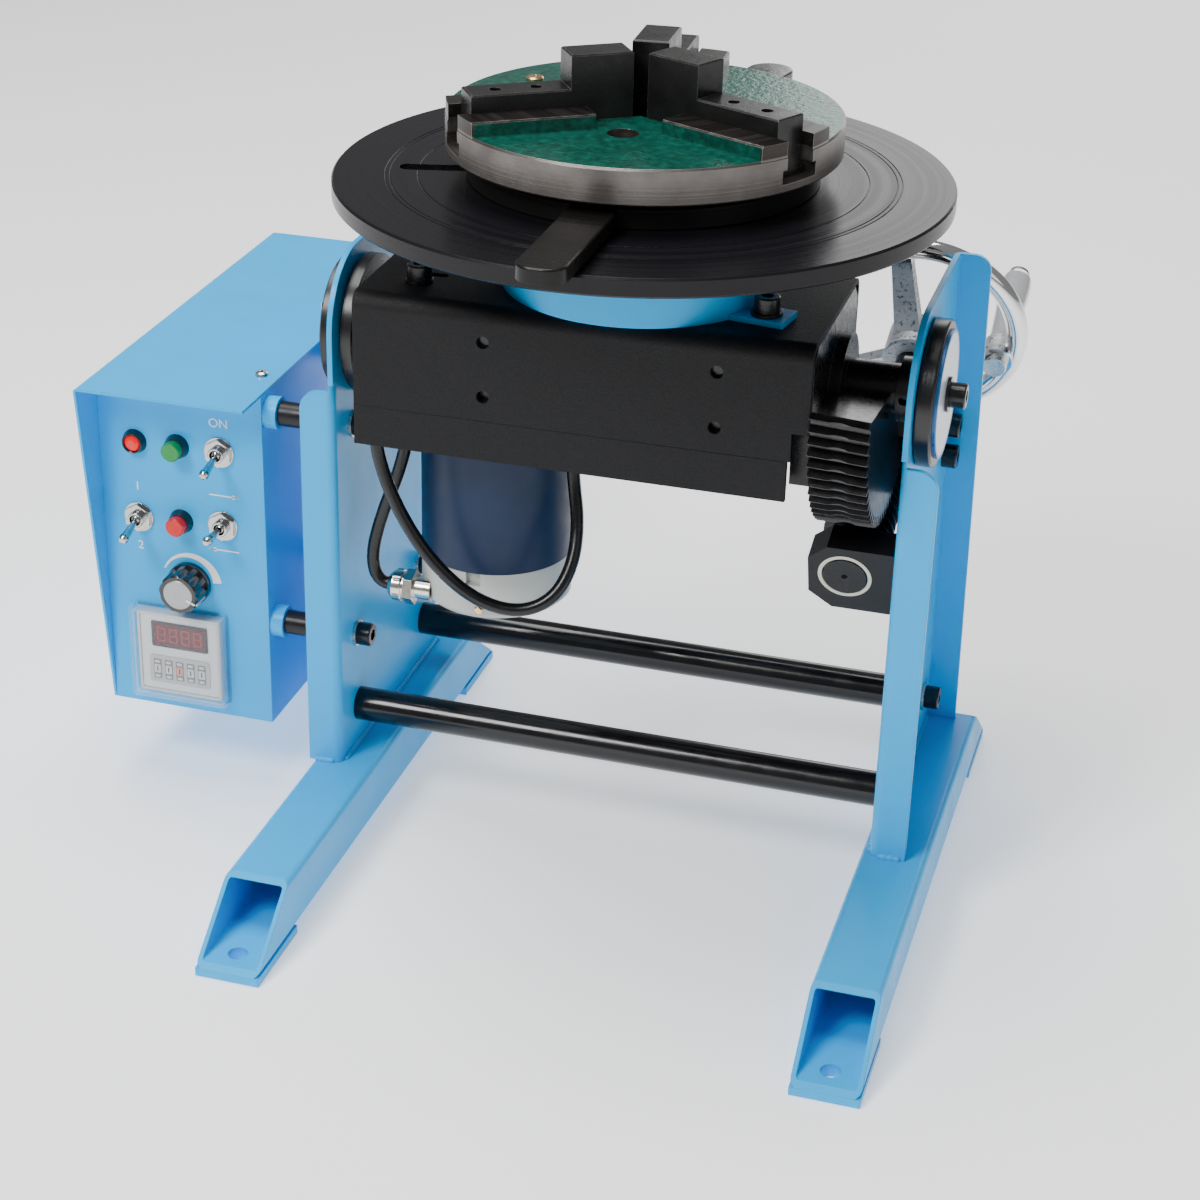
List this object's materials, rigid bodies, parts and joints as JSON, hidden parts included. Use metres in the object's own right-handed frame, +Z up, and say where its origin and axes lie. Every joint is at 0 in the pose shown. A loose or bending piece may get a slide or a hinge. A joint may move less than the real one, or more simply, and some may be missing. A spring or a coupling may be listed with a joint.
{
  "type": "welding positioner",
  "caption": "Bench welding positioner: a motor-driven turntable with a three-jaw scroll chuck, in a head tilted by a handwheel and worm sector, with a side control box.",
  "frame": {"origin": "on the floor, at the centre of the rectangle of the four foot bolt holes", "axes": "+X to the handwheel side, +Y to the back, away from the control panel's face, +Z up along the table's axis at rest"},
  "size_m": [0.4805, 0.4544, 0.446],
  "materials": {
    "blue_paint": "gloss enamel",
    "black_texture": "fine textured powder coat",
    "black_oxide": "oiled black oxide",
    "black_anodised": "anodised",
    "machined_steel": "turned and ground",
    "chuck_steel": "machined, green recessed faces",
    "cast_grey": "rough cast hub, polished rim",
    "chrome": "bright",
    "nickel": "nickel plate",
    "brass": "plain",
    "bronze": "sintered",
    "navy_paint": "gloss enamel",
    "motor_cap": "satin",
    "cable_black": "smooth jacket",
    "black_plastic": "moulded",
    "knob_grey": "moulded",
    "red_plastic": "translucent",
    "green_plastic": "moulded",
    "grip_white": "moulded",
    "timer_grey": "moulded",
    "clear_plastic": "clear",
    "dial_face": "satin, printed",
    "board_green": "circuit board",
    "zinc": "zinc plate"
  },
  "bodies": {
    "frame": {"foot_left": "blue_paint", "foot_right": "blue_paint", "upright_left": "blue_paint", "upright_right": "blue_paint", "tie_bars": "black_oxide", "socket_bolts_frame": "black_oxide", "washers_frame": "zinc", "box_standoffs": "black_anodised", "worm_blocks": "black_texture", "worm_bushes": "bronze", "trunnion_bushes": "bronze", "box_chassis": "blue_paint", "box_cover": "blue_paint", "cover_screws": "zinc", "button_bezels": "black_plastic", "pilot_lens": "red_plastic", "toggle_switches": "chrome", "timer_case": "timer_grey", "timer_lid": "clear_plastic", "power_inlet": "black_plastic", "pedal_socket": "nickel", "control_board": "board_green"},
    "reset_button": {"reset_button": "green_plastic"},
    "lock_button": {"lock_button": "red_plastic"},
    "power_lever": {"power_lever": "chrome"},
    "mode_lever": {"mode_lever": "chrome"},
    "direction_lever": {"direction_lever": "chrome"},
    "speed_knob": {"speed_knob": "knob_grey"},
    "tilt_head": {"trunnion_right": "black_oxide", "trunnion_left": "black_oxide", "sector_gear": "black_oxide", "head_shell": "black_texture", "head_skirt": "black_texture", "trunnion_discs": "black_anodised", "dial_plate": "dial_face", "socket_bolts_head": "black_oxide", "washers_head": "zinc", "motor_can": "navy_paint", "motor_end_cap": "motor_cap", "gearbox": "navy_paint", "cable_gland": "nickel", "motor_cable": "cable_black", "bearing_housing": "blue_paint", "spindle_bearings": "machined_steel"},
    "turntable": {"spindle": "machined_steel", "driven_gear": "machined_steel", "table": "black_oxide", "chuck_body": "chuck_steel", "body_lever": "black_oxide", "oil_plug": "brass", "table_screws": "black_oxide"},
    "pinion": {"pinion": "machined_steel"},
    "scroll": {"scroll_plate": "black_oxide"},
    "jaw_1": {"jaw_1": "black_oxide"},
    "jaw_2": {"jaw_2": "black_oxide"},
    "jaw_3": {"jaw_3": "black_oxide"},
    "worm": {"worm_shaft": "black_oxide", "handwheel": "cast_grey", "handle_bolt": "zinc"},
    "handle_grip": {"handle_grip": "grip_white"}
  },
  "joints": [
    {"name": "tilt", "type": "hinge", "parent": "frame", "child": "tilt_head", "pos_m": [-0.0068, 0.018, 0.285], "axis": [1, 0, 0], "range_deg": [0, 90]},
    {"name": "table_spin", "type": "hinge", "parent": "tilt_head", "child": "turntable", "pos_m": [-0.0043, 0.018, 0.376], "axis": [0, 0, 1], "continuous": true},
    {"name": "pinion_spin", "type": "hinge", "parent": "tilt_head", "child": "pinion", "pos_m": [-0.0523, 0.018, 0.305], "axis": [0, 0, 1], "continuous": true},
    {"name": "scroll_turn", "type": "hinge", "parent": "turntable", "child": "scroll", "pos_m": [-0.0043, 0.018, 0.387], "axis": [0, 0, 1], "range_deg": [-157, 1120]},
    {"name": "worm_spin", "type": "hinge", "parent": "frame", "child": "worm", "pos_m": [0.1153, 0.04549, 0.20562], "axis": [0, 0.9449, 0.3272], "range_deg": [-6150, 30]},
    {"name": "handle_grip_spin", "type": "hinge", "parent": "worm", "child": "handle_grip", "pos_m": [0.15881, 0.22465, 0.25359], "axis": [0, 0.9449, 0.3272], "continuous": true},
    {"name": "speed_knob_turn", "type": "hinge", "parent": "frame", "child": "speed_knob", "pos_m": [-0.2512, -0.012, 0.1273], "axis": [0, -1, 0], "range_deg": [-150, 150]},
    {"name": "jaw_1_slide", "type": "slide", "parent": "turntable", "child": "jaw_1", "axis": [-0.8339, -0.5519, 0], "range_m": [-0.0036, 0.0252]},
    {"name": "jaw_2_slide", "type": "slide", "parent": "turntable", "child": "jaw_2", "axis": [0.8949, -0.4462, 0], "range_m": [-0.0036, 0.0252]},
    {"name": "jaw_3_slide", "type": "slide", "parent": "turntable", "child": "jaw_3", "axis": [-0.061, 0.9981, 0], "range_m": [-0.0036, 0.0252]},
    {"name": "reset_press", "type": "slide", "parent": "frame", "child": "reset_button", "axis": [0, 1, 0], "range_m": [0, 0.0018], "stiffness_N_per_m": 800, "springref_m": -0.001},
    {"name": "lock_press", "type": "slide", "parent": "frame", "child": "lock_button", "axis": [0, 1, 0], "range_m": [0, 0.0018], "stiffness_N_per_m": 800, "springref_m": -0.001},
    {"name": "power_lever_flip", "type": "hinge", "parent": "frame", "child": "power_lever", "pos_m": [-0.23, -0.011, 0.2093], "axis": [-1, 0, 0], "range_deg": [0, 30]},
    {"name": "mode_lever_flip", "type": "hinge", "parent": "frame", "child": "mode_lever", "pos_m": [-0.2803, -0.011, 0.1635], "axis": [-1, 0, 0], "range_deg": [0, 30]},
    {"name": "direction_lever_flip", "type": "hinge", "parent": "frame", "child": "direction_lever", "pos_m": [-0.2296, -0.011, 0.1655], "axis": [-1, 0, 0], "range_deg": [-15, 15]}
  ],
  "couplings": [
    {"joint": "pinion_spin", "follows": "table_spin", "ratio": -3},
    {"joint": "worm_spin", "follows": "tilt", "ratio": -68},
    {"joint": "jaw_1_slide", "follows": "scroll_turn", "m_per_rad": 0.0012732},
    {"joint": "jaw_2_slide", "follows": "scroll_turn", "m_per_rad": 0.0012732},
    {"joint": "jaw_3_slide", "follows": "scroll_turn", "m_per_rad": 0.0012732}
  ]
}
